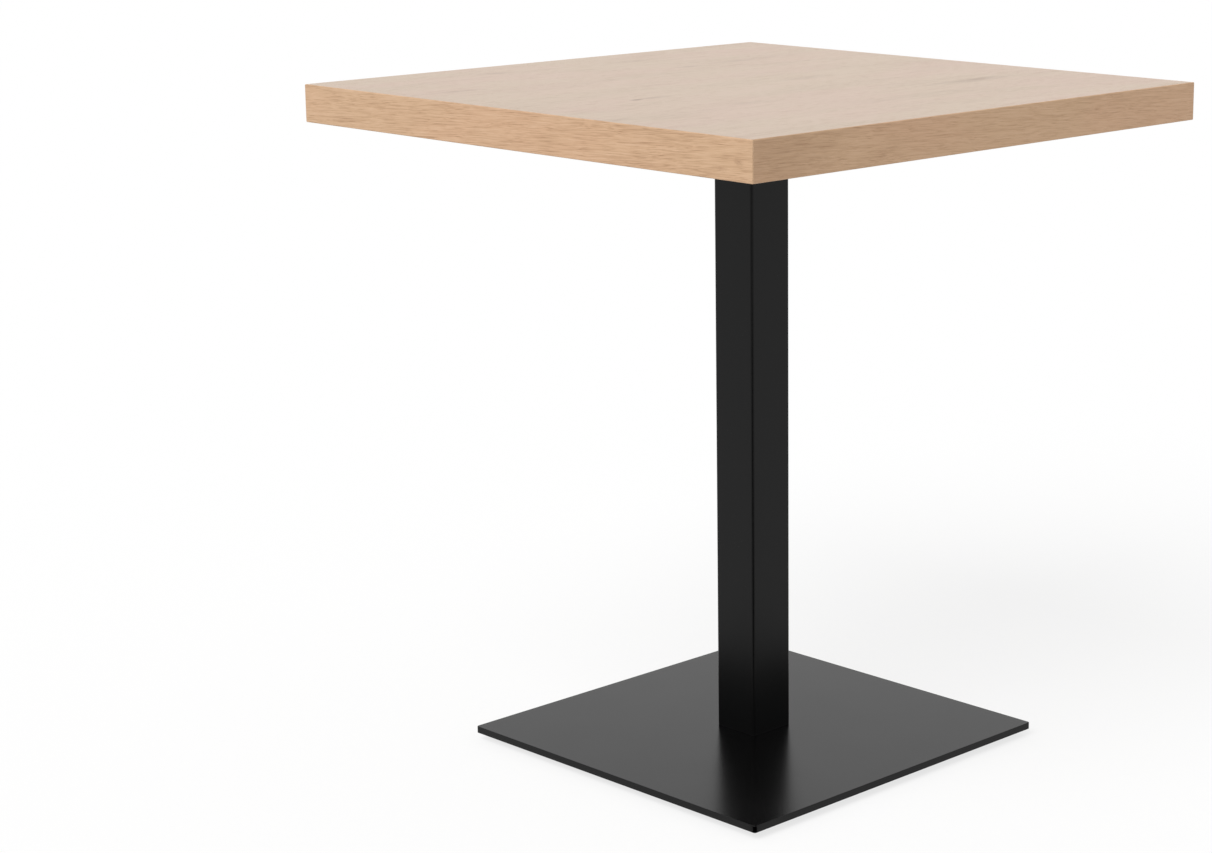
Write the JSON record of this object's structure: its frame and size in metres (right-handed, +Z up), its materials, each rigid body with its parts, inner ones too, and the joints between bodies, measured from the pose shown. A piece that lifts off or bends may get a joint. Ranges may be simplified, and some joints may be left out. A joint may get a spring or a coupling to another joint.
{
  "type": "bistro table",
  "caption": "Square bistro table: a thick oak-look top on a square black steel column and a flat square steel foot plate with levelling glides.",
  "frame": {"origin": "floor level under the column's axis, at the centre of the base", "axes": "+Z up along the column, X and Y along the table's sides; front is -Y, left is -X"},
  "size_m": [0.7, 0.7, 0.768],
  "materials": {
    "oak_laminate": "satin pale oak laminate",
    "oak_edge": "satin oak edge band, grain along the edge",
    "particle_board": "raw particle board",
    "backing_laminate": "plain matt backing laminate",
    "black_steel": "satin black powder coat",
    "foot_steel": "fine satin black powder coat",
    "bare_steel": "mill-finish steel",
    "zinc_steel": "bright zinc-plated steel",
    "black_nylon": "matt moulded nylon"
  },
  "bodies": {
    "table": {"top_laminate": "oak_laminate", "top_core": "particle_board", "backing_laminate": "backing_laminate", "edge_band_front": "oak_edge", "edge_band_back": "oak_edge", "edge_band_left": "oak_edge", "edge_band_right": "oak_edge", "mounting_plate": "black_steel", "mounting_bolts": "zinc_steel", "mounting_screws": "zinc_steel", "column_tube": "black_steel", "column_head_plate": "bare_steel", "column_foot_plate": "bare_steel", "foot_plate": "foot_steel", "foot_bolts": "zinc_steel"},
    "pad_front_left": {"glide_pad_front_left": "black_nylon"},
    "pad_front_right": {"glide_pad_front_right": "black_nylon"},
    "pad_back_right": {"glide_pad_back_right": "black_nylon"},
    "pad_back_left": {"glide_pad_back_left": "black_nylon"},
    "stud_front_left": {"glide_stud_front_left": "zinc_steel"},
    "stud_front_right": {"glide_stud_front_right": "zinc_steel"},
    "stud_back_right": {"glide_stud_back_right": "zinc_steel"},
    "stud_back_left": {"glide_stud_back_left": "zinc_steel"}
  },
  "joints": [
    {"name": "travel_front_left", "type": "slide", "parent": "table", "child": "pad_front_left", "axis": [0, 0, -1], "range_m": [0, 0.003]},
    {"name": "turn_front_left", "type": "hinge", "parent": "pad_front_left", "child": "stud_front_left", "pos_m": [-0.18, -0.18, 0.008], "axis": [0, 0, -1], "range_deg": [0, 864]},
    {"name": "travel_front_right", "type": "slide", "parent": "table", "child": "pad_front_right", "axis": [0, 0, -1], "range_m": [0, 0.003]},
    {"name": "turn_front_right", "type": "hinge", "parent": "pad_front_right", "child": "stud_front_right", "pos_m": [0.18, -0.18, 0.008], "axis": [0, 0, -1], "range_deg": [0, 864]},
    {"name": "travel_back_right", "type": "slide", "parent": "table", "child": "pad_back_right", "axis": [0, 0, -1], "range_m": [0, 0.003]},
    {"name": "turn_back_right", "type": "hinge", "parent": "pad_back_right", "child": "stud_back_right", "pos_m": [0.18, 0.18, 0.008], "axis": [0, 0, -1], "range_deg": [0, 864]},
    {"name": "travel_back_left", "type": "slide", "parent": "table", "child": "pad_back_left", "axis": [0, 0, -1], "range_m": [0, 0.003]},
    {"name": "turn_back_left", "type": "hinge", "parent": "pad_back_left", "child": "stud_back_left", "pos_m": [-0.18, 0.18, 0.008], "axis": [0, 0, -1], "range_deg": [0, 864]}
  ],
  "couplings": [
    {"joint": "turn_front_left", "follows": "travel_front_left", "rad_per_m": 5026.5},
    {"joint": "turn_front_right", "follows": "travel_front_right", "rad_per_m": 5026.5},
    {"joint": "turn_back_right", "follows": "travel_back_right", "rad_per_m": 5026.5},
    {"joint": "turn_back_left", "follows": "travel_back_left", "rad_per_m": 5026.5}
  ]
}
